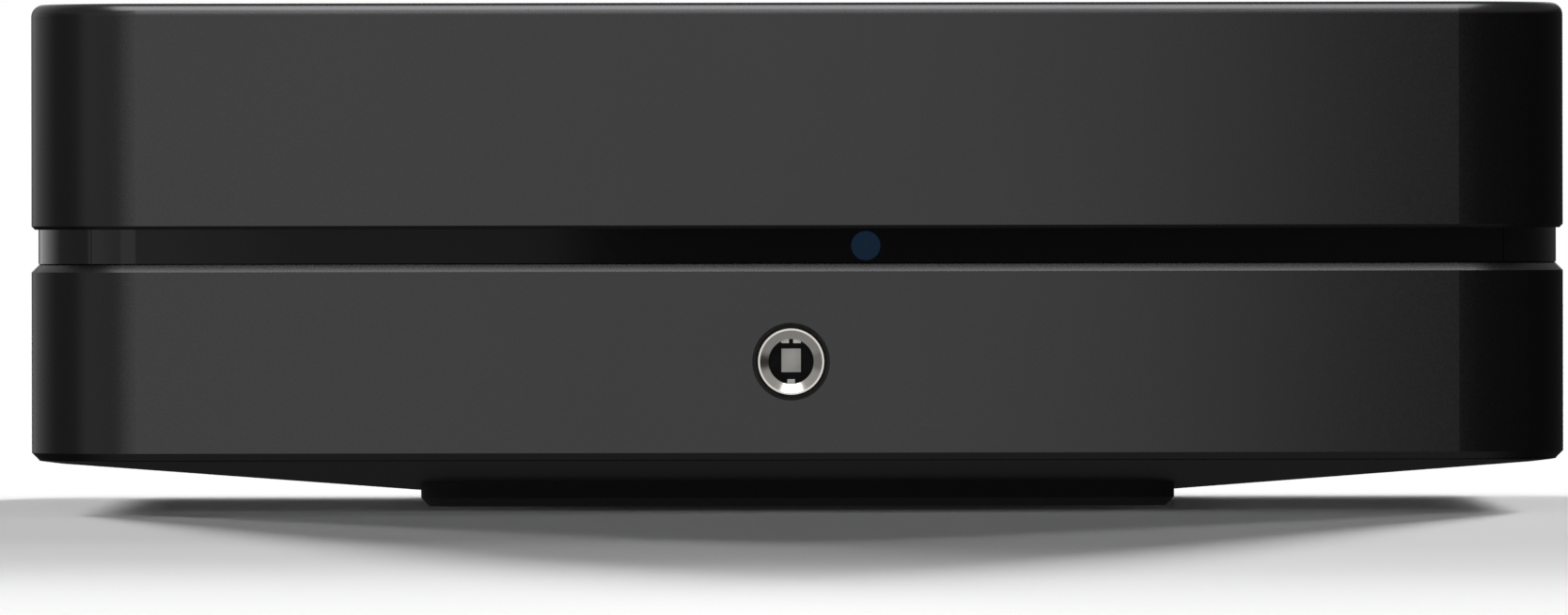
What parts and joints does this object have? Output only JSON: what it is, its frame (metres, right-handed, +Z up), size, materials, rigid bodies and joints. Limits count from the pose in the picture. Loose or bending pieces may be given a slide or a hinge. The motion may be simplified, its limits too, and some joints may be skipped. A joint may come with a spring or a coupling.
{
  "type": "streaming amplifier",
  "caption": "Compact black streaming amplifier: two rounded shells round a glossy waist band, front headphone socket, sloping underside on a central foot, rear speaker posts and sockets.",
  "frame": {"origin": "centre of the foot's underside, on the surface it stands on", "axes": "+Z up, front faces -Y, +X to the right of someone who looks at the front"},
  "size_m": [0.22, 0.19, 0.0725],
  "materials": {
    "shell_black": "satin black moulded polycarbonate blend with a soft brushed sheen",
    "band_gloss": "polished black acrylic",
    "window_gloss": "polished smoked acrylic that looks black",
    "pan_black": "fine moulded texture, black",
    "foot_rubber": "matt black rubber",
    "panel_black": "fine black powder coat on steel sheet",
    "zinc_steel": "zinc plated steel",
    "touch_black": "back painted black glass, polished",
    "light_lens": "dark blue light pipe, switched low",
    "board_green": "green solder mask on glass epoxy board",
    "moulded_black": "black moulded nylon",
    "bright_nickel": "bright nickel plate",
    "gold_contact": "gold flashed brass",
    "brass_plated": "nickel plated brass",
    "knob_red": "red moulded polycarbonate",
    "knob_dark": "black moulded polycarbonate",
    "ferrite": "dark grey pressed ferrite",
    "copper_winding": "enamelled copper under amber tape",
    "capacitor_sleeve": "dark sleeve on aluminium can",
    "anodised_sink": "black anodised extruded aluminium",
    "port_insert": "pale moulded insert"
  },
  "bodies": {
    "root": {"upper_shell": "shell_black", "lower_shell": "shell_black", "waist_band": "band_gloss", "front_window": "window_gloss", "base_pan": "pan_black", "foot": "foot_rubber", "case_screws": "zinc_steel", "touch_glass": "touch_black", "touch_board": "board_green", "status_lens": "light_lens", "status_board": "board_green", "headphone_bezel": "bright_nickel", "headphone_socket": "moulded_black", "headphone_contacts": "bright_nickel", "headphone_board": "board_green", "rear_panel": "panel_black", "panel_screws": "zinc_steel", "chassis_tray": "zinc_steel", "board_spacers": "brass_plated", "board_screws": "zinc_steel", "power_board": "board_green", "main_board": "board_green", "amplifier_board": "board_green", "mains_inlet": "moulded_black", "mains_pins": "bright_nickel", "network_port": "bright_nickel", "network_contacts": "gold_contact", "video_port": "bright_nickel", "video_port_tongue": "moulded_black", "data_port": "bright_nickel", "data_port_tongue": "port_insert", "coaxial_socket": "gold_contact", "coaxial_insulator": "moulded_black", "mini_jacks": "moulded_black", "fuse": "gold_contact", "mains_choke": "ferrite", "transformer_core": "ferrite", "transformer_winding": "copper_winding", "power_capacitors": "capacitor_sleeve", "power_heatsink": "anodised_sink", "amplifier_chips": "moulded_black", "amplifier_heatsink": "anodised_sink", "output_inductors": "ferrite", "output_capacitors": "knob_red", "processor": "anodised_sink", "wireless_module": "bright_nickel", "antennas": "board_green", "post_bases": "knob_dark", "post_stem_1": "gold_contact", "post_stem_2": "gold_contact", "post_stem_3": "gold_contact", "post_stem_4": "gold_contact"},
    "washer_1": {"post_washer_1": "gold_contact"},
    "knob_1": {"post_knob_1": "knob_red"},
    "washer_2": {"post_washer_2": "gold_contact"},
    "knob_2": {"post_knob_2": "knob_dark"},
    "washer_3": {"post_washer_3": "gold_contact"},
    "knob_3": {"post_knob_3": "knob_red"},
    "washer_4": {"post_washer_4": "gold_contact"},
    "knob_4": {"post_knob_4": "knob_dark"}
  },
  "joints": [
    {"name": "washer_1_slide", "type": "slide", "parent": "root", "child": "washer_1", "axis": [0, 1, 0], "range_m": [0, 0.005]},
    {"name": "knob_1_turn", "type": "hinge", "parent": "washer_1", "child": "knob_1", "pos_m": [0.068, 0.095, 0.0532], "axis": [0, 1, 0], "range_deg": [0, 1800]},
    {"name": "washer_2_slide", "type": "slide", "parent": "root", "child": "washer_2", "axis": [0, 1, 0], "range_m": [0, 0.005]},
    {"name": "knob_2_turn", "type": "hinge", "parent": "washer_2", "child": "knob_2", "pos_m": [0.04895, 0.095, 0.0532], "axis": [0, 1, 0], "range_deg": [0, 1800]},
    {"name": "washer_3_slide", "type": "slide", "parent": "root", "child": "washer_3", "axis": [0, 1, 0], "range_m": [0, 0.005]},
    {"name": "knob_3_turn", "type": "hinge", "parent": "washer_3", "child": "knob_3", "pos_m": [0.02, 0.095, 0.0532], "axis": [0, 1, 0], "range_deg": [0, 1800]},
    {"name": "washer_4_slide", "type": "slide", "parent": "root", "child": "washer_4", "axis": [0, 1, 0], "range_m": [0, 0.005]},
    {"name": "knob_4_turn", "type": "hinge", "parent": "washer_4", "child": "knob_4", "pos_m": [0.00095, 0.095, 0.0532], "axis": [0, 1, 0], "range_deg": [0, 1800]}
  ],
  "couplings": [
    {"joint": "knob_1_turn", "follows": "washer_1_slide", "rad_per_m": 6283.2},
    {"joint": "knob_2_turn", "follows": "washer_2_slide", "rad_per_m": 6283.2},
    {"joint": "knob_3_turn", "follows": "washer_3_slide", "rad_per_m": 6283.2},
    {"joint": "knob_4_turn", "follows": "washer_4_slide", "rad_per_m": 6283.2}
  ]
}
